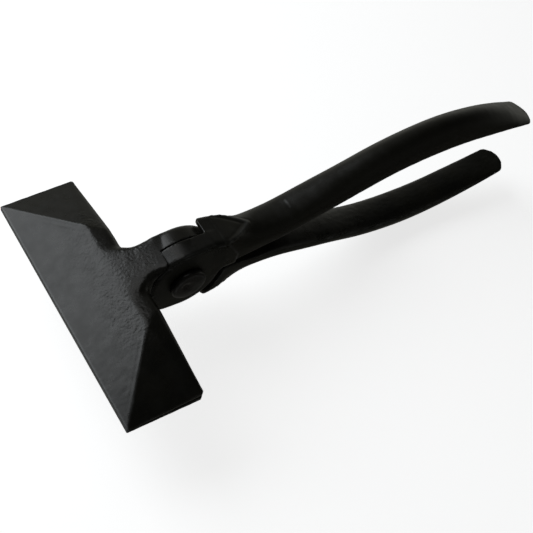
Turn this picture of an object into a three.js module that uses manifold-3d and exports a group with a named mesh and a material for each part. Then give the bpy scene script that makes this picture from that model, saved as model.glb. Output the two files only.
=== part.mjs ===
// Hand seamer: two identical drop-forged halves crossing at one rivet, like tongs with a wide flat jaw.
// Millimetres. +X runs from the jaw to the handle ends, +Y along the rivet, +Z from lower jaw to upper.
// Every length below is measured from the rivet's centre; the finished group is centred on its box.

import * as THREE from 'three';
import { mergeVertices } from 'three/addons/utils/BufferGeometryUtils.js';
import { ConvexGeometry } from 'three/addons/geometries/ConvexGeometry.js';
import { LoftGeometry } from 'three/addons/geometries/LoftGeometry.js';
import Module from 'manifold-3d';

const wasm = await Module();
wasm.setup();

// ---- driving dimensions ----

const GAP = 0.3;                 // working clearance between the two halves, and round the rivet

const BLADE_WIDTH = 88.9;        // 3 1/2 in along Y
const BLADE_FRONT = -41.2;       // gripping edge
const BLADE_REAR = -15.7;
const EDGE_TOP = 0.85;           // outer face above the middle plane at the gripping edge
const SIDE_TOP = 2.2;            // and at the rear corners
const REAR_LIFT = 0.6;           // inner face above the middle plane at the rear edge
const CORNER_RADIUS = 1;      // rear corners in plan
const HIP = { x: -22.7, y: 20.4, z: 9.8 };   // where each hip ridge reaches its top
const ROLL_RADIUS = 3.2;          // rear edge rolls over between the hips
const ROLL_Y = 17;

const CHEEK_RADIUS = 14.6;       // at the lap plane
const CHEEK_HALF = 6.5;          // from the lap plane to the side face
const CHEEK_DRAFT = 0.4;         // radius lost from the lap plane to the rounded edge
const EDGE_ROUND = 2.2;

const NECK_BEVEL = 1.4;
const NECK_TOP = [
  [-25, 8.7], [-22.7, 9.8], [-19, 10.75], [-15, 11.6], [-11, 12.4], [-8, 12.9], [-4, 13.4], [0, 13.4],
];
// where the neck runs into the blade: x, extra half width, top
const NECK_FLARE = [[-22.9, 5, 9.75], [-16.6, 3.1, 10.9], [-12.4, 0.2, 11.9]];
const FLARE_SIDE = 3;            // height of the flare's sloping shoulder
const FLARE_TOP_INSET = 1.8;
const FLARE_SIDE_INSET = 0.5;

const FACET_START = 9;           // flat on top of the handle's root
const FACET_Z = 14.4;
const FACET_FULL_END = 14.8;     // full width up to here
const FACET_END = 25.5;          // the facet runs out in a point on the crown
const FACET_END_Z = 10.4;
const ROOT_END = 19.8;
const ROOT_TOP = 5;
const ROOT_BEVEL = 1.9;
const ROOT_LOW = -1.2;           // lower edge of the root on its own cheek's side
const ROOT_HEEL = [[10, -8], [12.6, -3.2], [14.2, ROOT_LOW]];
const SHOULDER_X = 8.2;          // end of the shoulder that passes over the other cheek
const SHOULDER_BEVEL = 1.6;
const SPOT_FACE_RADIUS = 10.4;
const SHOULDER_LEAN = 0.8;       // its end leans back by this much
const SIDE_STEP = 0.4;           // the handle's side stands this far outside the milled face round the rivet
const SIDE_STEP_START = 8.6;
const SIDE_STEP_END = 13.5;

const HANDLE_END = 157;
const HANDLE_START = 13;
const HALF_WIDTH = 6.6;
const TIP_BULGE = 7.5;           // how far the rounded tip runs out in plan
const INNER_BULGE = 2;           // the inner face is gently rounded, rising from flat at the joint
const BULGE_START = 21;
const BULGE_FULL = 45;
const BULGE_FADE = 30;           // it fades again over this length before the tip
const SLIGHT_CROWN = 0.05;       // flats on the handle bulge by this much
const LAND = { height: 3, endHeight: 0.9, start: 40, length: 35 };   // trimmed band along each rim
const CROWN_RISE = { slope: 0.36, curve: 0.028, power: 2.4 };      // left of the facet's point
const RIM_LINE = [
  [13, 1.5], [20, 1.5], [28, 2.6], [40, 4.4], [60, 10.2], [85, 16.5], [110, 18.3], [135, 16.2], [166, 11.2],
];
const CROWN_LINE = [
  [26, 10.3], [31, 9.7], [42, 11.3], [60, 16.9], [80, 23.4],
  [104, 27.1], [125, 25.3], [141, 20.8], [150, 16.5], [162, 10.8],
];
const FINE_STATIONS_END = 30;    // handle sections are closer together up to here
const FINE_STEP = 1.55;
const COARSE_STEP = 3.3;
const BACK_STEPS = 20;           // points round the back and the inner face of each handle section
const INNER_STEPS = 12;

const RIVET_RADIUS = 4;
const HEAD_RADIUS = 6.4;
const HEAD_OUTER = 9.2;          // crown of each rivet head from the lap plane
const HEAD_SIDE = 8.5;           // where the head's side wall ends
const HEAD_DIMPLE = 0.35;
const HEAD_CHAMFER = 0.5;
const HEAD_FLAT_RADIUS = 3.2;    // the head's crown is flat between these two radii
const HEAD_DIMPLE_RADIUS = 1.6;

const ROUND_SEGMENTS = 72;
const HOLE_SEGMENTS = 48;
const FAR = 40;                  // reaches past the joint on every side

const PIVOT_X = -(HANDLE_END + BLADE_FRONT) / 2;

// ---- helpers ----

function solid(geometry) {
  const bare = new THREE.BufferGeometry().copy(geometry);
  bare.deleteAttribute('normal');
  bare.deleteAttribute('uv');
  const merged = mergeVertices(bare, 1e-4);
  return new wasm.Manifold(new wasm.Mesh({
    numProp: 3,
    vertProperties: new Float32Array(merged.attributes.position.array),
    triVerts: new Uint32Array(merged.index.array),
  }));
}

function geometryOf(body) {
  const mesh = body.getMesh();
  const geometry = new THREE.BufferGeometry();
  geometry.setAttribute('position', new THREE.BufferAttribute(mesh.vertProperties, 3));
  geometry.setIndex(new THREE.BufferAttribute(mesh.triVerts, 1));
  geometry.computeVertexNormals();
  return geometry;
}

// A side outline in X and Z, given thickness from y0 to y1, with its side edges bevelled.
function sideSlab(outline, y0, y1, bevel) {
  const shape = new THREE.Shape(outline.map(([x, z]) => new THREE.Vector2(x, z)));
  const geometry = new THREE.ExtrudeGeometry(shape, {
    depth: y1 - y0 - 2 * bevel,
    bevelEnabled: bevel > 0,
    bevelThickness: bevel,
    bevelSize: bevel,
    bevelOffset: -bevel,
    bevelSegments: 3,
  });
  geometry.rotateX(Math.PI / 2);
  geometry.translate(0, y1 - bevel, 0);
  return solid(geometry);
}

// A plan outline given height from z0 to z1.
function planSlab(shape, z0, z1) {
  const settings = { depth: z1 - z0, bevelEnabled: false, curveSegments: 12 };
  const geometry = new THREE.ExtrudeGeometry(shape, settings);
  geometry.translate(0, 0, z0);
  return solid(geometry);
}

function block(x0, x1, y0, y1, z0, z1) {
  const geometry = new THREE.BoxGeometry(x1 - x0, y1 - y0, z1 - z0);
  geometry.translate((x0 + x1) / 2, (y0 + y1) / 2, (z0 + z1) / 2);
  return solid(geometry);
}

function drum(radius, y0, y1, segments = ROUND_SEGMENTS) {
  const geometry = new THREE.CylinderGeometry(radius, radius, y1 - y0, segments);
  geometry.translate(0, (y0 + y1) / 2, 0);
  return solid(geometry);
}

function lathe(profile, segments) {
  return solid(new THREE.LatheGeometry(profile.map(([r, y]) => new THREE.Vector2(r, y)), segments));
}

// A smooth line through [x, z] points, returned as a function of x.
function smoothLine(points) {
  const curve = new THREE.SplineCurve(points.map(([x, z]) => new THREE.Vector2(x, z)));
  const samples = curve.getPoints(400);
  return (x) => {
    const next = Math.max(1, samples.findIndex((p) => p.x >= x));
    const [a, b] = [samples[next - 1], samples[next]];
    return a.y + ((b.y - a.y) * (x - a.x)) / (b.x - a.x);
  };
}

// ---- the jaw side of one forging, above the middle plane ----

function bladePoints(side) {
  const half = BLADE_WIDTH / 2;
  const points = [
    [BLADE_FRONT, half, GAP / 2],
    [BLADE_FRONT, half, EDGE_TOP],
    [HIP.x, HIP.y, HIP.z],
  ];
  for (const turn of [0, 1, 2, 3]) {
    const angle = (turn / 3) * (Math.PI / 2);
    const x = BLADE_REAR - CORNER_RADIUS * (1 - Math.cos(angle));
    const y = half - CORNER_RADIUS * (1 - Math.sin(angle));
    points.push([x, y, REAR_LIFT], [x, y, SIDE_TOP]);
  }
  for (const turn of [0, 1, 2, 3, 4, 5]) {
    const angle = (turn / 5) * (Math.PI / 2);
    points.push([
      BLADE_REAR - ROLL_RADIUS * (1 - Math.sin(angle)),
      ROLL_Y,
      HIP.z - ROLL_RADIUS * (1 - Math.cos(angle)),
    ]);
  }
  return points.map(([x, y, z]) => new THREE.Vector3(x, side * y, z));
}

function blade() {
  return solid(new ConvexGeometry([...bladePoints(1), ...bladePoints(-1)]));
}

function neck() {
  const outline = [[0, REAR_LIFT], ...[...NECK_TOP].reverse(), [NECK_TOP[0][0], REAR_LIFT]];
  const flared = [];
  for (const [x, extra, top] of NECK_FLARE) {
    const half = CHEEK_HALF + extra;
    for (const side of [1, -1]) {
      flared.push(new THREE.Vector3(x, side * half, REAR_LIFT));
      flared.push(new THREE.Vector3(x, side * (half - FLARE_SIDE_INSET), top - FLARE_SIDE));
      flared.push(new THREE.Vector3(x, side * (half - FLARE_TOP_INSET), top));
    }
  }
  return sideSlab(outline, -CHEEK_HALF, CHEEK_HALF, NECK_BEVEL).add(solid(new ConvexGeometry(flared)));
}

// ---- the joint cheek, a drafted disc with a rounded outer edge, on the +Y side of the lap plane ----

function cheek() {
  const profile = [[0, GAP / 2], [CHEEK_RADIUS, GAP / 2]];
  for (const turn of [0, 1, 2, 3]) {
    const angle = (turn / 3) * (Math.PI / 2);
    profile.push([
      CHEEK_RADIUS - CHEEK_DRAFT - EDGE_ROUND * (1 - Math.cos(angle)),
      CHEEK_HALF - EDGE_ROUND * (1 - Math.sin(angle)),
    ]);
  }
  profile.push([0, CHEEK_HALF]);
  return lathe(profile, ROUND_SEGMENTS);
}

// ---- the handle side, drawn above the middle plane with its own cheek at -Y ----

const facetSlope = (FACET_END_Z - FACET_Z) / (FACET_END - FACET_START);
const facetAt = (x) => (x > FACET_END ? Infinity : FACET_Z + facetSlope * Math.max(0, x - FACET_START));

function handleRoot() {
  const outer = CHEEK_HALF + SIDE_STEP;
  const bend = [FACET_FULL_END, facetAt(FACET_FULL_END)];
  const rootRim = RIM_LINE[0][1];
  const cheekTop = CHEEK_RADIUS - CHEEK_DRAFT;
  const round = [0, 9, 18, 27, 36].map((turn) => {
    const angle = THREE.MathUtils.degToRad(turn);
    return [-cheekTop * Math.sin(angle), cheekTop * Math.cos(angle)];
  });
  const end = [ROOT_END, ROOT_TOP];
  const ownSide = sideSlab(
    [[0, 0], ...ROOT_HEEL, [ROOT_END, ROOT_LOW], end, bend, [FACET_START, FACET_Z], ...round],
    -outer, ROOT_BEVEL, ROOT_BEVEL).subtract(block(-FAR, FAR, -GAP / 2, FAR, -FAR, FAR));
  const shoulder = sideSlab(
    [[SHOULDER_X + SHOULDER_LEAN, rootRim], [ROOT_END, rootRim], end, bend, [SHOULDER_X, FACET_Z]],
    -SHOULDER_BEVEL, HALF_WIDTH, SHOULDER_BEVEL);
  // the side face is milled flush with the cheek, then flares out towards the handle
  const milled = new THREE.Shape([
    new THREE.Vector2(-FAR, -2 * outer),
    new THREE.Vector2(SIDE_STEP_END, -2 * outer),
    new THREE.Vector2(SIDE_STEP_END, -outer),
    new THREE.Vector2(SIDE_STEP_START, -CHEEK_HALF),
    new THREE.Vector2(-FAR, -CHEEK_HALF),
  ]);
  return ownSide.add(shoulder).subtract(planSlab(milled, -FAR, FAR));
}

const rimAt = smoothLine(RIM_LINE);
const crownLine = smoothLine(CROWN_LINE);

// Left of the facet's point the crown would rise steeply, and the facet cuts it flat.
function crownAt(x) {
  const before = Math.max(0, CROWN_LINE[0][0] - x);
  const rise = CROWN_RISE.slope * before + CROWN_RISE.curve * before ** CROWN_RISE.power;
  return crownLine(Math.max(x, CROWN_LINE[0][0])) + rise;
}

const ease = (t) => THREE.MathUtils.smoothstep(t, 0, 1);

// One section of the handle at x: trimmed lands at the rims, an arched back and a rounded inner face.
function handleSection(x) {
  const rim = rimAt(x);
  const land = THREE.MathUtils.lerp(LAND.height, LAND.endHeight, ease((x - LAND.start) / LAND.length));
  const crown = Math.max(crownAt(x), rim + land + SLIGHT_CROWN);
  const swell = ease((x - BULGE_START) / (BULGE_FULL - BULGE_START)) * ease((HANDLE_END - x) / BULGE_FADE);
  const bulge = Math.max(SLIGHT_CROWN, INNER_BULGE * swell);
  const outer = [];
  const inner = [];
  for (let i = 0; i <= BACK_STEPS; i += 1) {
    const angle = (i / BACK_STEPS) * Math.PI;
    const flat = facetAt(x) + SLIGHT_CROWN * Math.sin(angle);
    const z = Math.min(rim + land + (crown - rim - land) * Math.sin(angle), flat);
    outer.push(new THREE.Vector3(x, HALF_WIDTH * Math.cos(angle), z));
  }
  for (let i = INNER_STEPS - 1; i > 0; i -= 1) {
    const angle = (i / INNER_STEPS) * Math.PI;
    inner.push(new THREE.Vector3(x, HALF_WIDTH * Math.cos(angle), rim - bulge * Math.sin(angle)));
  }
  return [new THREE.Vector3(x, HALF_WIDTH, rim), ...outer, new THREE.Vector3(x, -HALF_WIDTH, rim), ...inner];
}

function handleBar() {
  const stations = [];
  for (let x = HANDLE_START; x < FINE_STATIONS_END; x += FINE_STEP) stations.push(x);
  for (let x = FINE_STATIONS_END; x < HANDLE_END + COARSE_STEP; x += COARSE_STEP) stations.push(x);
  const loft = solid(new LoftGeometry(stations.map(handleSection), { capStart: true, capEnd: true }));
  const plan = new THREE.Shape();
  plan.moveTo(0, HALF_WIDTH + 1);
  plan.lineTo(0, -HALF_WIDTH - 1);
  plan.absellipse(HANDLE_END - TIP_BULGE, 0, TIP_BULGE, HALF_WIDTH + 1, -Math.PI / 2, Math.PI / 2);
  return loft.intersect(planSlab(plan, -FAR, FAR));
}

function handle() {
  const spotFace = drum(SPOT_FACE_RADIUS, -2 * CHEEK_HALF, -CHEEK_HALF);
  return handleRoot().add(handleBar()).subtract(spotFace);
}

// ---- one whole forging: upper jaw, cheek at +Y, lower handle ----

function forging() {
  const relief = drum(CHEEK_RADIUS + GAP, -2 * CHEEK_HALF, GAP / 2);
  const hole = drum(RIVET_RADIUS + GAP, -2 * CHEEK_HALF, 2 * CHEEK_HALF, HOLE_SEGMENTS);
  return blade()
    .add(neck())
    .add(handle().rotate([180, 0, 0]))
    .subtract(relief)
    .add(cheek())
    .subtract(hole);
}

// ---- the rivet: a shank through both cheeks, with a low round head on each side ----

function rivet() {
  const underHead = CHEEK_HALF + GAP;
  const half = [
    [RIVET_RADIUS, underHead],
    [HEAD_RADIUS, underHead],
    [HEAD_RADIUS, HEAD_SIDE],
    [HEAD_RADIUS - HEAD_CHAMFER, HEAD_OUTER - HEAD_CHAMFER / 3],
    [HEAD_FLAT_RADIUS, HEAD_OUTER],
    [HEAD_DIMPLE_RADIUS, HEAD_OUTER],
    [0, HEAD_OUTER - HEAD_DIMPLE],
  ];
  const mirrored = [...half].reverse().map(([r, y]) => [r, -y]);
  return lathe([...mirrored, ...half], HOLE_SEGMENTS);
}

// ---- assembly ----

function piece(name, geometry, colour, roughness, metalness) {
  const material = new THREE.MeshStandardMaterial({ color: colour, roughness, metalness });
  const mesh = new THREE.Mesh(geometry, material);
  mesh.name = name;
  return mesh;
}

const forgingGeometry = geometryOf(forging());
const upper = piece('upper_jaw_forging', forgingGeometry, 0x1b1d1d, 0.45, 0.4);
const lower = piece('lower_jaw_forging', forgingGeometry.clone(), 0x1b1d1d, 0.45, 0.4);
lower.rotation.x = Math.PI;
const pin = piece('pivot_rivet', geometryOf(rivet()), 0x232424, 0.5, 0.4);

const seamer = new THREE.Group();
seamer.add(upper, lower, pin);
seamer.position.x = PIVOT_X;

export default seamer;
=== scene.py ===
"""Hand seamer: finished forgings, rivet, materials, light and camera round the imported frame."""

import math
from types import SimpleNamespace

import bmesh
import bpy
import numpy as np
from mathutils import Matrix, Vector, kdtree, noise


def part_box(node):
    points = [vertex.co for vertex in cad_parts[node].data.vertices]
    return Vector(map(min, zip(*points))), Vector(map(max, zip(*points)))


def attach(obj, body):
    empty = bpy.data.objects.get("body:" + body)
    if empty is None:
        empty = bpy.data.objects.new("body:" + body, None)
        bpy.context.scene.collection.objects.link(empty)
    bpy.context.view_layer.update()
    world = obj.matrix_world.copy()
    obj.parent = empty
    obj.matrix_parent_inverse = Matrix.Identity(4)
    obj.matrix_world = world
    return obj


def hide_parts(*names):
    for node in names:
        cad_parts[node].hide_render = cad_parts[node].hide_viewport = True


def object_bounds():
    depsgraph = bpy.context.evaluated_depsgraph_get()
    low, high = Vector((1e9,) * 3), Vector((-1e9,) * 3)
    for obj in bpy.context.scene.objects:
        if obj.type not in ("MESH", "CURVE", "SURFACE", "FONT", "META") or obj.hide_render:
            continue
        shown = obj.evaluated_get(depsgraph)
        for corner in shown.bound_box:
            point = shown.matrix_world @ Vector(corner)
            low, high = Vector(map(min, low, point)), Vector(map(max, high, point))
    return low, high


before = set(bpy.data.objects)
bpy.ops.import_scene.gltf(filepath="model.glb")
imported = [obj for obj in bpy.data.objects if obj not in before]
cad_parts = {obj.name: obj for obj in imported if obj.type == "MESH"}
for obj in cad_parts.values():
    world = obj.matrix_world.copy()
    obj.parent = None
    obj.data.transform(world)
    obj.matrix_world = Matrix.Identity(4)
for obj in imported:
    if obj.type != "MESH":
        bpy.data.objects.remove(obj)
cad_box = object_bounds()

MM = 0.001
VOXEL = 0.34
SEED = 7

# ---- main places and sizes, in millimetres from the rivet's centre ----

rivet_low, rivet_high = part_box("pivot_rivet")
PIVOT = np.array((rivet_low + rivet_high) / 2 / MM)
HEAD_RADIUS = (rivet_high.x - rivet_low.x) / 2 / MM
HEAD_OUTER = (rivet_high.y - rivet_low.y) / 2 / MM
BLADE_FRONT = cad_box[0].x / MM - PIVOT[0]
HALF_BLADE = cad_box[1].y / MM
HIP_TOP = np.array([-22.7, 20.4])
NECK_END = -9
CHEEK_RADIUS = 14.6
CHEEK_FACE_RADIUS = 12.0
CHEEK_HALF = 6.5
RELIEF_RADIUS = 14.9
SHOULDER_END = 9


# ---- mesh helpers ----

def from_pivot(places):
    """Millimetres from the rivet's centre, for places given in metres."""
    return np.array(places) / MM - PIVOT


def points_of(mesh):
    flat = np.empty(len(mesh.vertices) * 3)
    mesh.vertices.foreach_get("co", flat)
    return flat.reshape(-1, 3)


def set_points(mesh, points):
    mesh.vertices.foreach_set("co", points.astype(np.float32).ravel())
    mesh.update()


def normals_of(mesh):
    flat = np.empty(len(mesh.vertices) * 3)
    mesh.vertex_normals.foreach_get("vector", flat)
    return flat.reshape(-1, 3)


def edges_of(mesh):
    flat = np.empty(len(mesh.edges) * 2, np.int64)
    mesh.edges.foreach_get("vertices", flat)
    return flat.reshape(-1, 2)


def new_object(name, mesh):
    obj = bpy.data.objects.new(name, mesh)
    bpy.context.scene.collection.objects.link(obj)
    return obj


def neighbour_mean(values, edges):
    count = np.bincount(edges.ravel(), minlength=len(values))
    total = np.empty_like(values)
    for axis in range(values.shape[1]):
        column = values[:, axis]
        total[:, axis] = np.bincount(edges[:, 0], column[edges[:, 1]], len(values))
        total[:, axis] += np.bincount(edges[:, 1], column[edges[:, 0]], len(values))
    return total / np.maximum(count, 1)[:, None]


def smoothstep(value, start, full):
    """Rises smoothly from 0 at start to 1 at full, whichever of the two is the greater."""
    t = np.clip((value - start) / (full - start), 0, 1)
    return t * t * (3 - 2 * t)


def bead(distance, centre, width):
    """A smooth hump of height 1 at the given distance."""
    return np.exp(-((distance - centre) / width) ** 2)


NOISE_GAIN = 1.4


def noise_at(points, size, octaves=1):
    """Smooth noise from about -1 to 1, with features of the given size in millimetres."""
    total = np.zeros(len(points))
    weight = 1.0
    for octave in range(octaves):
        shifted = points / size * 2 ** octave + SEED * (octave + 1)
        total += weight * np.fromiter((noise.noise(Vector(p)) for p in shifted), float, len(points))
        weight /= 2
    return total * NOISE_GAIN


STEP_WEIGHT = 0.6


def soften(points, edges, strength, spread):
    """Rounds the shape by about `spread` mm where strength is 1."""
    steps = max(1, round(spread ** 2 / (STEP_WEIGHT / 2 * VOXEL ** 2)))
    for _ in range(steps):
        points = points + STEP_WEIGHT * strength[:, None] * (neighbour_mean(points, edges) - points)
    return points


def distance_to(marks, points):
    tree = kdtree.KDTree(len(marks))
    for i, mark in enumerate(marks):
        tree.insert(mark, i)
    tree.balance()
    return np.fromiter((tree.find(p)[2] for p in points), float, len(points))


FINISH_ATTRIBUTES = ("crest", "milled", "ground", "pebbled", "satin")


def complete(mesh, points, **finish):
    """Sets the final points, given from the rivet's centre, and the finish attributes, 0 by default."""
    for name in FINISH_ATTRIBUTES:
        attribute = mesh.attributes.new(name, "FLOAT", "POINT")
        values = finish.get(name, np.zeros(len(points)))
        attribute.data.foreach_set("value", values.astype(np.float32))
    set_points(mesh, (points + PIVOT) * MM)
    mesh.polygons.foreach_set("use_smooth", np.ones(len(mesh.polygons), bool))


# ---- the forgings: both are worked on as the upper one ----

def remeshed(node):
    """A fine, even copy of a CAD node's mesh, pulled back onto the CAD surface."""
    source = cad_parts[node]
    rough = new_object("working_copy", source.data.copy())
    remesh = rough.modifiers.new("even", "REMESH")
    remesh.mode = "VOXEL"
    remesh.voxel_size = VOXEL * MM
    wrap = rough.modifiers.new("onto", "SHRINKWRAP")
    wrap.target = source
    wrap.wrap_method = "NEAREST_SURFACEPOINT"
    graph = bpy.context.evaluated_depsgraph_get()
    mesh = bpy.data.meshes.new_from_object(rough.evaluated_get(graph))
    bpy.data.objects.remove(rough)
    mesh.materials.clear()
    return mesh


# Each pair is where a zone starts and where it is full, in millimetres
JAW_ALONG = (NECK_END + 2, NECK_END - 1)
JAW_TOP_UP = (1.5, 4)
NECK_ALONG = (-30, -22)
NECK_ACROSS = (14, 9)
HANDLE_ALONG = (13, 17)
RELIEF_OUTWARDS = (RELIEF_RADIUS + 0.3, RELIEF_RADIUS + 1.5)
LAP_SIDE = 1
CHEEK_MARGIN = 1
CHEEK_FACE_MARGIN = 1.5


def shape_zones(points):
    """Parts of the forging's CAD shape, as weights from 0 to 1."""
    x, y, z = points.T
    radius = np.hypot(x, z)
    jaw = smoothstep(x, *JAW_ALONG)
    handle = smoothstep(x, *HANDLE_ALONG)
    return SimpleNamespace(
        jaw=jaw,
        jaw_top=jaw * smoothstep(z, *JAW_TOP_UP),
        neck=smoothstep(np.abs(y), *NECK_ACROSS) * smoothstep(x, *NECK_ALONG),
        handle=handle,
        joint=(1 - jaw) * (1 - handle),
        lap=(radius < CHEEK_RADIUS + CHEEK_MARGIN) & (y < LAP_SIDE),
        cheek_face=radius < CHEEK_FACE_RADIUS + CHEEK_FACE_MARGIN,
        clear_of_relief=np.where(y < LAP_SIDE, smoothstep(radius, *RELIEF_OUTWARDS), 1),
    )


# How widely edges are rounded, and where, in millimetres
EDGE_ROUND = 0.75
NECK_ROUND = 1.1
BLADE_BORDER = (0.4, 2)
HANDLE_ROUND_ALONG = (27, 40)

# How strongly each part is rounded, from 0 to 1
HANDLE_SOFTNESS = 0.2
HANDLE_BACK_SOFTNESS = 0.75
JOINT_SOFTNESS = 0.25
JAW_SOFTNESS = 0.2
JAW_TOP_SOFTNESS = 0.5
NECK_SOFTNESS = 0.3


def softened(points, edges, shape):
    """The forging with rounded edges, but not in or round the lap, nor on the blade's front and ends."""
    x, y, _ = points.T
    front = smoothstep(x - BLADE_FRONT, *BLADE_BORDER)
    ends = smoothstep(HALF_BLADE - np.abs(y), *BLADE_BORDER)
    handle = HANDLE_SOFTNESS + HANDLE_BACK_SOFTNESS * smoothstep(x, *HANDLE_ROUND_ALONG)
    joint = np.where(shape.lap, 0, JOINT_SOFTNESS)
    jaw = JAW_SOFTNESS + JAW_TOP_SOFTNESS * shape.jaw_top + NECK_SOFTNESS * shape.neck * shape.jaw_top
    jaw *= front * ends * shape.clear_of_relief
    strength = np.clip(shape.handle * handle + shape.joint * joint + shape.jaw * jaw, 0, 1)
    points = soften(points, edges, strength, EDGE_ROUND)
    return soften(points, edges, shape.neck * shape.jaw_top * shape.clear_of_relief, NECK_ROUND)


# The flat on the shoulder: where it starts and ends, half its width, its height and how steeply it falls
FACET_START = 14.8
FACET_END = 25.5
FACET_HALF = 6.2
FACET_Z = 14.4
FACET_FALL = 0.2424
FACET_CURVE = 1.25
FACET_MARKS = 80


def facet_line():
    """The curved edge where the flat on the shoulder runs out into the handle's rounded back."""
    line = []
    for x in np.linspace(FACET_START, FACET_END, FACET_MARKS):
        half = FACET_HALF * (1 - ((x - FACET_START) / (FACET_END - FACET_START)) ** FACET_CURVE)
        z = -(FACET_Z - FACET_FALL * (x - SHOULDER_END))
        line.extend([(x, half, z), (x, -half, z)])
    return line


def hip_distance(x, y):
    """In plan, distance across from the hip ridge, positive towards the blade's middle, and along it."""
    corner = np.array([BLADE_FRONT, HALF_BLADE])
    along = (HIP_TOP - corner) / np.linalg.norm(HIP_TOP - corner)
    across = np.array([along[1], -along[0]])
    across *= np.sign(across @ (np.array([BLADE_FRONT, 0]) - corner))
    place = np.stack([x, np.abs(y)], 1) - corner
    return place @ across, place @ along


# Spans of facing are parts of the unit normal, and all other spans are in millimetres
MILLED_FACING = (0.93, 0.99)
OUTER_FACING = (0.3, 0.6)
INNER_FACING = (-0.8, -0.95)
GRIP_INSIDE_FACING = (-0.1, 0.3)
GRIP_BACK_FACING = (0.3, -0.2)
GRIP_START = 26
GROUND_ALONG = (0.9, 0.2)
MIDDLE_SPAN = (-0.5, 1.5)
PEBBLES_ALONG = (-37, -26)
PEBBLES_ACROSS = (30, 16)
PEBBLES_UP = (3, 6)
PEBBLED_TOP_UP = (6, 9)
PEBBLES_LEAST = 0.12
PEBBLES_ON_TOP = 0.9


def skin_zones(points, normals, shape):
    """Kinds of surface on the softened forging, as weights from 0 to 1, and distances from ridges."""
    x, y, z = points.T
    facing_side = np.abs(normals[:, 1])
    facing_up = normals[:, 2]
    milled = smoothstep(facing_side, *MILLED_FACING) * shape.cheek_face
    outer = smoothstep(facing_up, *OUTER_FACING) * shape.jaw
    hip_offset, hip_run = hip_distance(x, y)
    middle = smoothstep(hip_offset, *MIDDLE_SPAN) * outer

    near_neck = smoothstep(x, *PEBBLES_ALONG) * smoothstep(np.abs(y), *PEBBLES_ACROSS)
    pebbled = middle * (PEBBLES_LEAST + (1 - PEBBLES_LEAST) * near_neck)
    pebbled = np.maximum(pebbled, shape.jaw * smoothstep(z, *PEBBLED_TOP_UP) * PEBBLES_ON_TOP)
    pebbled *= (1 - milled) * smoothstep(z, *PEBBLES_UP) * shape.clear_of_relief
    return SimpleNamespace(
        milled=milled,
        ground=shape.jaw * smoothstep(x - BLADE_FRONT, *GROUND_ALONG),
        outer=outer,
        inner=smoothstep(facing_up, *INNER_FACING) * shape.jaw,
        middle=middle,
        pebbled=pebbled,
        grip_inside=shape.handle * smoothstep(facing_up, *GRIP_INSIDE_FACING) * (x > GRIP_START),
        grip_back=shape.handle * smoothstep(facing_up, *GRIP_BACK_FACING),
        hip_offset=hip_offset,
        hip_run=hip_run,
        facet_edge=distance_to(facet_line(), points),
    )


# Sizes and depths of the forged texture, in millimetres
PIT_SIZE = 0.75
PIT_DEPTH = 0.035
SWELL_SIZE = 2.8
SWELL_DEPTH = 0.012
PEBBLE_SWELL_DEPTH = 0.03
WRINKLE_SIZE = 1.5
WRINKLE_DEPTH = 0.03
WRINKLE_STRETCH = np.array([0.5, 1, 1])
STREAK_SIZE = 1.3
STREAK_DEPTH = 0.010
STREAK_STRETCH = np.array([0.3, 1, 1])
STREAKS_ACROSS = (-2, -20)


def texture(points, skin):
    """Pebbles, streaks and swells of the forged surface, as millimetres outwards."""
    pits = noise_at(points, PIT_SIZE)
    swells = noise_at(points, SWELL_SIZE)
    wrinkles = noise_at(points * WRINKLE_STRETCH, WRINKLE_SIZE, 2)
    streaks = noise_at(points * STREAK_STRETCH, STREAK_SIZE)
    plain = 1 - skin.pebbled
    streaked = skin.middle * plain * smoothstep(points[:, 1], *STREAKS_ACROSS)
    depth = skin.pebbled * (PIT_DEPTH * pits + PEBBLE_SWELL_DEPTH * swells)
    depth += streaked * STREAK_DEPTH * streaks
    depth += plain * (1 - skin.milled) * (1 - skin.inner) * SWELL_DEPTH * swells
    depth += skin.grip_inside * WRINKLE_DEPTH * wrinkles
    return depth


# Heights, places and widths of the raised lines along the ridges, in millimetres
FACET_BEAD = 0.18
FACET_BEAD_WIDTH = 0.6
FACET_GROOVE = 0.10
FACET_GROOVE_PLACE = 1.3
FACET_GROOVE_WIDTH = 0.5
RIDGE_START = (4, 12)
RIDGE_END = (31, 27)
RIDGE_BEAD = 0.12
RIDGE_BEAD_PLACE = 0.1
RIDGE_BEAD_WIDTH = 0.55
SECOND_BEAD = 0.02
SECOND_BEAD_RISE = 0.06
SECOND_BEAD_PLACE = 1.7
SECOND_BEAD_WIDTH = 0.5
SECOND_BEAD_SIDE = (-1, 1)
SECOND_BEAD_ALONG = (12, 20)
RAGGED_SIZE = 5.0
RAGGED_MEAN = 0.8
RAGGED_SWING = 0.4


def ridges(points, skin):
    """The uneven beads along the hip ridges and the shoulder facet's edge, as millimetres outwards."""
    ridge = skin.outer * smoothstep(skin.hip_run, *RIDGE_START) * smoothstep(skin.hip_run, *RIDGE_END)
    ridge *= RAGGED_MEAN + RAGGED_SWING * noise_at(points, RAGGED_SIZE)
    rise = smoothstep(points[:, 1], *SECOND_BEAD_SIDE) * smoothstep(skin.hip_run, *SECOND_BEAD_ALONG)
    second = SECOND_BEAD + SECOND_BEAD_RISE * rise
    depth = FACET_BEAD * bead(skin.facet_edge, 0, FACET_BEAD_WIDTH)
    depth -= FACET_GROOVE * bead(skin.facet_edge, FACET_GROOVE_PLACE, FACET_GROOVE_WIDTH)
    depth += ridge * RIDGE_BEAD * bead(skin.hip_offset, RIDGE_BEAD_PLACE, RIDGE_BEAD_WIDTH)
    depth += ridge * second * bead(skin.hip_offset, SECOND_BEAD_PLACE, SECOND_BEAD_WIDTH)
    return depth


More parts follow.
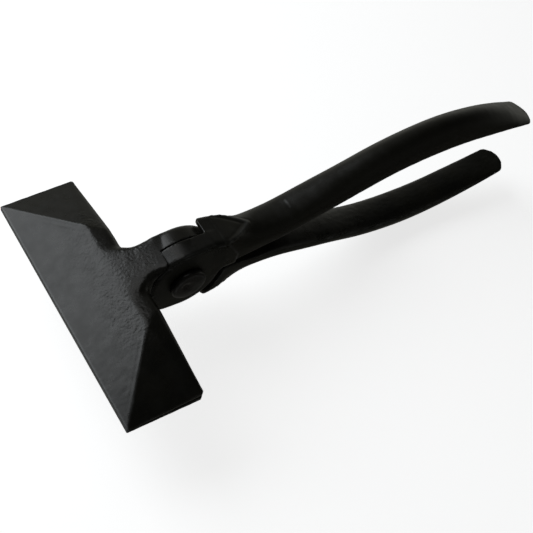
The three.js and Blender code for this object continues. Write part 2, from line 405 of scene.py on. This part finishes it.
SHARP = math.radians(20)
MERGE_DISTANCE = 1e-6
MARK_SPACING = 0.2
SHOULDER_END_FROM = SHOULDER_END - 4
SHOULDER_END_TO = SHOULDER_END + 3
SHOULDER_END_TOP = -3
BURIED_FROM = -26
BURIED_HALF = 11
BURIED_BOTTOM = 6


def worn_edge(place):
    """Every sharp edge is worn except the shoulder's end and the ones that the pebbled neck buries."""
    x, y, z = place
    on_shoulder_end = SHOULDER_END_FROM < x < SHOULDER_END_TO and z < SHOULDER_END_TOP
    buried = BURIED_FROM < x < NECK_END and abs(y) < BURIED_HALF and z > BURIED_BOTTOM
    # Every sharp edge wears except the shoulder's end and the ones that the pebbled neck buries.
    return not (on_shoulder_end or buried)


def crease_distance(node, turn, points):
    """Distance in mm from each point to the CAD node's nearest sharp outward edge that wears."""
    solid = bmesh.new()
    solid.from_mesh(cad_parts[node].data)
    bmesh.ops.remove_doubles(solid, verts=solid.verts, dist=MERGE_DISTANCE)
    marks = []
    for edge in solid.edges:
        if len(edge.link_faces) == 2 and edge.calc_face_angle_signed() > SHARP:
            a, b = [from_pivot(v.co) * turn for v in edge.verts]
            if worn_edge((a + b) / 2):
                count = max(2, round(np.linalg.norm(b - a) / MARK_SPACING))
                marks.extend(a + (b - a) * t for t in np.linspace(0, 1, count))
    solid.free()
    return distance_to(marks, points)


# Widths, sizes and places are in millimetres, and the edges' loss of finish is from 0, none, to 3, down
# to the steel; the painted highlight along the shoulder facet's edge uses the same scale
WEAR_WIDTH = 0.22
WEAR_PATCH_SIZE = 3.0
WEAR_MEAN = 0.6
WEAR_SWING = 0.4
MILLED_WEAR_LOSS = 0.6
# A painted highlight along the shoulder facet's edge: its strength and its width
FACET_HIGHLIGHT = 0.9
FACET_HIGHLIGHT_WIDTH = 0.4
SCRATCH_START = (42.0, -2.4, -11.25)
SCRATCH_END = (42.0, 0.8, -11.25)
SCRATCH_MARKS = 30
SCRATCH_WIDTH = 0.34
SCRATCH_WEAR = 3.0


def edge_wear_and_facet_highlight(node, turn, points, skin):
    """How far the finish is scuffed off along the sharp edges, plus a painted highlight, a pale line,
    along the shoulder facet's edge.
    """
    wear_and_highlight = bead(crease_distance(node, turn, points), 0, WEAR_WIDTH)
    wear_and_highlight *= WEAR_MEAN + WEAR_SWING * noise_at(points, WEAR_PATCH_SIZE)
    wear_and_highlight = np.clip(wear_and_highlight, 0, 1) * (1 - MILLED_WEAR_LOSS * skin.milled)
    # Adds the painted highlight, a pale line along the shoulder facet's edge
    return np.maximum(wear_and_highlight, FACET_HIGHLIGHT * bead(skin.facet_edge, 0, FACET_HIGHLIGHT_WIDTH))


def scratch(points):
    marks = np.linspace(SCRATCH_START, SCRATCH_END, SCRATCH_MARKS)
    return SCRATCH_WEAR * bead(distance_to(marks, points), 0, SCRATCH_WIDTH)


def forging_mesh(node, lower):
    """The lower forging is turned half a turn about X to be worked on, and turned back at the end."""
    mesh = remeshed(node)
    turn = np.array([1, -1, -1]) if lower else np.array([1, 1, 1])
    points = from_pivot(points_of(mesh)) * turn
    shape = shape_zones(points)
    points = softened(points, edges_of(mesh), shape)
    set_points(mesh, points)
    normals = normals_of(mesh)
    skin = skin_zones(points, normals, shape)
    depth = texture(points, skin) + ridges(points, skin)
    points = np.clip(points + normals * depth[:, None], from_pivot(cad_box[0]), from_pivot(cad_box[1]))

    crest = edge_wear_and_facet_highlight(node, turn, points, skin)
    if lower:
        crest = np.maximum(crest, scratch(points))
    complete(mesh, points * turn, crest=crest, milled=skin.milled, ground=skin.ground,
             pebbled=skin.pebbled, satin=skin.grip_back)
    return mesh


# ---- the rivet: sizes in millimetres, and steps of its rounded rim, dome and circumference ----

SHANK_RADIUS = 4.0
UNDER_HEAD = CHEEK_HALF + 0.3
HEAD_CHAMFER = 0.15
HEAD_DOME = 0.45
HEAD_ROUND = 1.1
HEAD_FLAT = HEAD_RADIUS - HEAD_ROUND
RIM_BOTTOM = HEAD_OUTER - HEAD_DOME - HEAD_ROUND
BELOW_RIM = 0.4
RIM_STEPS = 8
DOME_STEPS = 40
ROUND_STEPS = 160


def head_profile():
    """(radius, height) of a head's rings, from the shank out over the rim and in towards the middle."""
    rings = [
        (SHANK_RADIUS, UNDER_HEAD),
        (HEAD_RADIUS - HEAD_CHAMFER, UNDER_HEAD),
        (HEAD_RADIUS, UNDER_HEAD + HEAD_CHAMFER),
        (HEAD_RADIUS, RIM_BOTTOM - BELOW_RIM),
    ]
    for i in range(RIM_STEPS + 1):
        angle = math.radians(90 * i / RIM_STEPS)
        radius = HEAD_FLAT + HEAD_ROUND * math.cos(angle)
        rings.append((radius, RIM_BOTTOM + HEAD_ROUND * math.sin(angle)))
    for i in range(1, DOME_STEPS):
        share = 1 - i / DOME_STEPS
        rings.append((HEAD_FLAT * share, HEAD_OUTER - HEAD_DOME * share ** 2))
    return rings


def turned(name, rings, end):
    """A solid of revolution about Y through (radius, height) rings, closed by points at -end and end."""
    vertices = [(0, -end, 0)]
    for radius, height in rings:
        for i in range(ROUND_STEPS):
            angle = 2 * math.pi * i / ROUND_STEPS
            vertices.append((radius * math.cos(angle), height, radius * math.sin(angle)))
    vertices.append((0, end, 0))
    last_ring = 1 + (len(rings) - 1) * ROUND_STEPS
    faces = []
    for i in range(ROUND_STEPS):
        j = (i + 1) % ROUND_STEPS
        faces.append((0, 1 + i, 1 + j))
        for ring in range(1, last_ring, ROUND_STEPS):
            above = ring + ROUND_STEPS
            faces.append((ring + i, above + i, above + j, ring + j))
        faces.append((last_ring + i, len(vertices) - 1, last_ring + j))
    mesh = bpy.data.meshes.new(name)
    mesh.from_pydata(vertices, [], faces)
    mesh.update()
    return mesh


# Place in x and z, radius and depth of each dent in a head, in millimetres
HEAD_DENTS = ((-1.6, 1.1, 1.3, 0.6), (-0.6, 0.2, 2.2, 0.25), (1.9, -2.0, 1.3, 0.1))
HAMMER_SIZE = 1.6
HAMMER_DEPTH = 0.02
HAMMER_INSET = 0.03
# A painted highlight round each head's rim: its strength, its width, the heights where it shows and the
# size of its patches, in millimetres
RIM_HIGHLIGHT = 0.35
RIM_HIGHLIGHT_WIDTH = 0.3
RIM_HIGHLIGHT_UP = (RIM_BOTTOM - 0.2, RIM_BOTTOM + 0.2)
RIM_HIGHLIGHT_PATCH_SIZE = 3.0


def rivet_mesh():
    """A shank with two low domed heads, hammered and dented on top, with a painted highlight round each
    rim.
    """
    head = head_profile()
    mesh = turned("rivet", [(radius, -height) for radius, height in reversed(head)] + head, HEAD_OUTER)
    points = points_of(mesh)
    x, y, z = points.T
    crown = smoothstep(np.abs(y), HEAD_OUTER - HEAD_DOME, HEAD_OUTER - HEAD_DOME / 2)
    inset = HAMMER_INSET - HAMMER_DEPTH * noise_at(points, HAMMER_SIZE, 2)
    for dent_x, dent_z, radius, deep in HEAD_DENTS:
        inset += deep * bead(np.hypot(x - dent_x, z - dent_z), 0, radius)
    limit = np.array([HEAD_RADIUS, HEAD_OUTER, HEAD_RADIUS])
    points = np.clip(points - normals_of(mesh) * (crown * inset)[:, None], -limit, limit)

    x, y, z = points.T
    # Painted highlight: a paler ring round each head's rim, carried in the crest attribute
    wear_and_highlight = RIM_HIGHLIGHT * bead(np.hypot(x, z), HEAD_FLAT, RIM_HIGHLIGHT_WIDTH)
    wear_and_highlight *= smoothstep(np.abs(y), *RIM_HIGHLIGHT_UP) * (1 + noise_at(points, RIM_HIGHLIGHT_PATCH_SIZE))
    complete(mesh, points, crest=wear_and_highlight)
    return mesh


# ---- materials ----

class Nodes:
    """Short calls for building a node tree."""

    def __init__(self, tree):
        self.tree = tree
        tree.nodes.clear()

    def add(self, kind, **settings):
        node = self.tree.nodes.new(kind)
        for name, value in settings.items():
            setattr(node, name, value)
        return node

    def put(self, value, socket):
        """Links an output to the socket, or sets the socket to a plain value."""
        if hasattr(value, "is_output"):
            self.tree.links.new(value, socket)
        else:
            socket.default_value = value

    def feed(self, node, **inputs):
        for name, value in inputs.items():
            self.put(value, node.inputs[name.replace("_", " ")])

    def math(self, operation, first, second=0.0):
        node = self.add("ShaderNodeMath", operation=operation)
        self.put(first, node.inputs[0])
        self.put(second, node.inputs[1])
        return node.outputs[0]

    def noise(self, coords, scale, detail, roughness):
        node = self.add("ShaderNodeTexNoise")
        self.feed(node, Vector=coords, Scale=scale, Detail=detail, Roughness=roughness)
        return node.outputs["Fac"]

    def attribute(self, name):
        return self.add("ShaderNodeAttribute", attribute_name=name).outputs["Fac"]

    def span(self, value, low, high, out_low=0.0, out_high=1.0):
        node = self.add("ShaderNodeMapRange", clamp=True)
        self.feed(node, Value=value, From_Min=low, From_Max=high, To_Min=out_low, To_Max=out_high)
        return node.outputs["Result"]

    def bump(self, height, strength, distance, **below):
        node = self.add("ShaderNodeBump")
        self.feed(node, Height=height, Strength=strength, Distance=distance, **below)
        return node.outputs[0]

    def mix(self, factor, first, second):
        """Mixes two colours, by socket number, because a mix node's sockets share their names."""
        node = self.add("ShaderNodeMix", data_type="RGBA")
        self.put(factor, node.inputs[0])
        self.put(first, node.inputs[6])
        self.put(second, node.inputs[7])
        return node.outputs[2]


# Each noise has its scale in features per metre, its detail and its roughness
MOTTLE = (70, 4, 0.6)
PATCH = (260, 3, 0.55)
PEBBLE = (1300, 1, 0.5)
GRAIN = (2400, 3, 0.6)

# Each bump has its strength, and its distance in metres
PATCH_BUMP = (0.2, 0.0001)
PEBBLE_BUMP = (0.6, 0.0001)
GRAIN_BUMP = (0.25, 0.00003)

# Each span has where the noise starts and ends, and the value at both if they aren't 0 and 1
MOTTLE_BROWN = (0.35, 0.65)
PATCH_WORN = (0.40, 0.60, 0.3, 1.0)
PATCH_ROUGH = (0.3, 0.7)
ROUGH_LESS = 0.05
ROUGH_MORE = 0.06
BARE_STEEL = (0.16, 0.165, 0.165, 1)
BARE_METALLIC = 0.7
CREST_LIGHTENING = 0.3
GROUND_BARE = 0.5
SATIN_BROWN = 0.8
SATIN_ROUGHER = 0.03
MILLED_ROUGHER = 0.04
FINISH_IOR = 1.5


def black_finish(name, black, brown, roughness, shift):
    """Black finish over steel: mottled brown, finely grained, with the steel showing through on its
    scuffed crests and ground edge, and the same paler steel colour painted on as highlights where the
    crest attribute carries them.
    """
    material = bpy.data.materials.new(name)
    material.use_nodes = True
    n = Nodes(material.node_tree)
    shader = n.add("ShaderNodeBsdfPrincipled")
    n.feed(n.add("ShaderNodeOutputMaterial"), Surface=shader.outputs[0])
    mapping = n.add("ShaderNodeMapping")
    n.feed(mapping, Vector=n.add("ShaderNodeTexCoord").outputs["Object"], Location=(shift, shift, shift))
    coords = mapping.outputs[0]
    patch = n.noise(coords, *PATCH)
    satin = n.attribute("satin")

    # The crest attribute holds edge wear and also painted highlights, along the shoulder facet's edge
    # and round the rivet head's rim; all of it is mixed towards the steel colour
    rubbed_and_highlit = n.math("MULTIPLY", n.attribute("crest"), n.span(patch, *PATCH_WORN))
    rubbed_and_highlit = n.math("MULTIPLY", rubbed_and_highlit, CREST_LIGHTENING)
    bare_and_highlit = n.math("MAXIMUM", rubbed_and_highlit, n.math("MULTIPLY", n.attribute("ground"), GROUND_BARE))
    mottled = n.span(n.noise(coords, *MOTTLE), *MOTTLE_BROWN)
    browned = n.math("MAXIMUM", mottled, n.math("MULTIPLY", satin, SATIN_BROWN))
    colour = n.mix(bare_and_highlit, n.mix(browned, black, brown), BARE_STEEL)

    rough = n.span(patch, *PATCH_ROUGH, roughness - ROUGH_LESS, roughness + ROUGH_MORE)
    rough = n.math("ADD", rough, n.math("MULTIPLY", n.attribute("milled"), MILLED_ROUGHER))
    rough = n.math("ADD", rough, n.math("MULTIPLY", satin, SATIN_ROUGHER))

    fine = n.bump(n.noise(coords, *GRAIN), *GRAIN_BUMP)
    broad = n.bump(patch, *PATCH_BUMP, Normal=fine)
    pebbles = n.math("MULTIPLY", n.noise(coords, *PEBBLE), n.attribute("pebbled"))
    pebbly = n.bump(pebbles, *PEBBLE_BUMP, Normal=broad)

    metallic = n.math("MULTIPLY", bare_and_highlit, BARE_METALLIC)
    n.feed(shader, Base_Color=colour, Metallic=metallic, Roughness=rough, Normal=pebbly)
    shader.inputs["IOR"].default_value = FINISH_IOR
    return material


forging_black = black_finish(
    "black_forging",
    black=(0.0052, 0.0053, 0.0043, 1), brown=(0.0090, 0.0084, 0.0060, 1), roughness=0.30, shift=0.0)
rivet_black = black_finish(
    "black_rivet",
    black=(0.0070, 0.0070, 0.0062, 1), brown=(0.011, 0.010, 0.0085, 1), roughness=0.32, shift=0.31)


# ---- pieces ----

FORGINGS = (
    ("upper_jaw_forging", "upper_half", False),
    ("lower_jaw_forging", "lower_half", True),
)

for node, body, lower in FORGINGS:
    forging = new_object(node + "_finished", forging_mesh(node, lower))
    forging.data.materials.append(forging_black)
    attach(forging, body)
    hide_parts(node)

rivet = new_object("pivot_rivet_finished", rivet_mesh())
rivet.data.materials.append(rivet_black)
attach(rivet, "upper_half")
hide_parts("pivot_rivet")


# ---- floor, in metres ----

FLOOR_HALF = 20.0
FLOOR_GAP = 0.0005
FLOOR_COLOUR = (0.8, 0.8, 0.8, 1)
FLOOR_ROUGHNESS = 0.9
FLOOR_GLOW = 0.76


def pale_floor():
    """A wide, evenly lit floor that isn't mirrored in the tool's finish."""
    mesh = bpy.data.meshes.new("floor")
    corners = [(-1, -1), (1, -1), (1, 1), (-1, 1)]
    mesh.from_pydata([(FLOOR_HALF * x, FLOOR_HALF * y, 0) for x, y in corners], [], [(0, 1, 2, 3)])
    material = bpy.data.materials.new("pale_floor")
    material.use_nodes = True
    shader = material.node_tree.nodes["Principled BSDF"]
    shader.inputs["Base Color"].default_value = FLOOR_COLOUR
    shader.inputs["Roughness"].default_value = FLOOR_ROUGHNESS
    shader.inputs["Emission Color"].default_value = (1, 1, 1, 1)
    shader.inputs["Emission Strength"].default_value = FLOOR_GLOW
    mesh.materials.append(material)
    obj = new_object("floor", mesh)
    obj.location.z = cad_box[0].z - FLOOR_GAP
    obj.visible_glossy = False
    return obj


floor = pale_floor()


# ---- light, in metres ----

NECK_TOP = (Vector((-15, 0, 11)) + Vector(PIVOT)) * MM


def area_light(name, centre, direction, distance, size, power, colour=(1, 1, 1)):
    """A soft disc that faces the given centre from the given direction."""
    data = bpy.data.lights.new(name, "AREA")
    data.shape = "DISK"
    data.size = size
    data.energy = power
    data.color = colour
    light = new_object(name, data)
    towards = Vector(direction).normalized()
    light.location = Vector(centre) + towards * distance
    light.rotation_euler = towards.to_track_quat("Z", "Y").to_euler()
    light.visible_camera = False


area_light("key", centre=(0, 0, 0), direction=(-0.50, 0.66, 0.56), distance=0.7, size=0.66, power=2.4,
           colour=(0.96, 1.0, 1.03))
area_light("neck_fill", centre=NECK_TOP, direction=(0.0, 0.19, 0.98), distance=0.125, size=0.075,
           power=0.011)

ROOM_COLOUR = (1, 1, 0.9, 1)
ROOM_LEAST = 0.012
BACK_WALL_DIRECTION = (0.45, 0.88, 0.05)

# Each span has where a patch starts and ends, as parts of the unit direction, and its value at both
RING_UP = (0.08, 0.42, 0.14, 0.0)
RING_ACROSS = (-0.6, -0.1, 0.0, 1.0)
RING_END = (0.6, 0.95, 0.0, 0.9)
FAR_HALF = (0.2, 0.6, 0.0, 0.07)
BACK_WALL = (0.72, 0.99, 0.0, 0.04)
LOW_SIDE = (0.35, 1.1, 0.0, 0.12)
NEAR_HALF = (-0.8, -0.3, 0.04, 0.0)
NEAR_HALF_UP = (0.0, 0.4, 0.0, 1.0)


def dark_room():
    """A world that is nearly black but for a few dim patches, each in its direction from the tool."""
    world = bpy.data.worlds.new("studio")
    world.use_nodes = True
    w = Nodes(world.node_tree)
    direction = w.add("ShaderNodeTexCoord").outputs["Generated"]
    axes = w.add("ShaderNodeSeparateXYZ")
    w.feed(axes, Vector=direction)
    x, y, z = axes.outputs

    # A dim ring at the tool's own level, missing on the near side and brighter beyond the handles
    ring = w.span(w.math("ABSOLUTE", z), *RING_UP)
    ring = w.math("MULTIPLY", ring, w.span(y, *RING_ACROSS))
    ring_end = w.math("MULTIPLY", ring, w.span(x, *RING_END))

    # The half of the room beyond the tool, brighter low down and where its back wall faces the tool
    far_half = w.span(y, *FAR_HALF)
    towards_back = w.add("ShaderNodeVectorMath", operation="DOT_PRODUCT")
    w.put(direction, towards_back.inputs[0])
    w.put(BACK_WALL_DIRECTION, towards_back.inputs[1])
    back_wall = w.span(towards_back.outputs["Value"], *BACK_WALL)
    low_side = w.span(w.math("SUBTRACT", y, z), *LOW_SIDE)

    # The near half of the room, above the tool's level
    near_half = w.math("MULTIPLY", w.span(y, *NEAR_HALF), w.span(z, *NEAR_HALF_UP))

    brightness = ROOM_LEAST
    for patch in (ring, ring_end, far_half, near_half, back_wall, low_side):
        brightness = w.math("ADD", patch, brightness)
    background = w.add("ShaderNodeBackground")
    w.feed(background, Color=ROOM_COLOUR, Strength=brightness)
    w.feed(w.add("ShaderNodeOutputWorld"), Surface=background.outputs[0])
    return world


bpy.context.scene.world = dark_room()


# ---- camera ----

CAMERA_AIM = Vector((-30.44, -12.70, 0)) * MM
CAMERA_DISTANCE = 289.2 * MM
CAMERA_AZIMUTH = math.radians(221.81)
CAMERA_ELEVATION = math.radians(52.94)
CAMERA_ROLL = math.radians(19.08)
CAMERA_NEAREST = 10 * MM
LENS = 58.19
SENSOR_WIDTH = 36


def add_camera():
    data = bpy.data.cameras.new("camera")
    data.lens = LENS
    data.sensor_width = SENSOR_WIDTH
    data.clip_start = CAMERA_NEAREST
    camera = new_object("camera", data)
    away = Vector((
        math.cos(CAMERA_AZIMUTH) * math.cos(CAMERA_ELEVATION),
        math.sin(CAMERA_AZIMUTH) * math.cos(CAMERA_ELEVATION),
        math.sin(CAMERA_ELEVATION),
    ))
    level = away.to_track_quat("Z", "Y")
    camera.location = CAMERA_AIM + away * CAMERA_DISTANCE
    camera.rotation_mode = "QUATERNION"
    camera.rotation_quaternion = level @ Matrix.Rotation(CAMERA_ROLL, 3, "Z").to_quaternion()
    return camera


bpy.context.scene.camera = add_camera()
bpy.context.scene.view_settings.view_transform = "Standard"
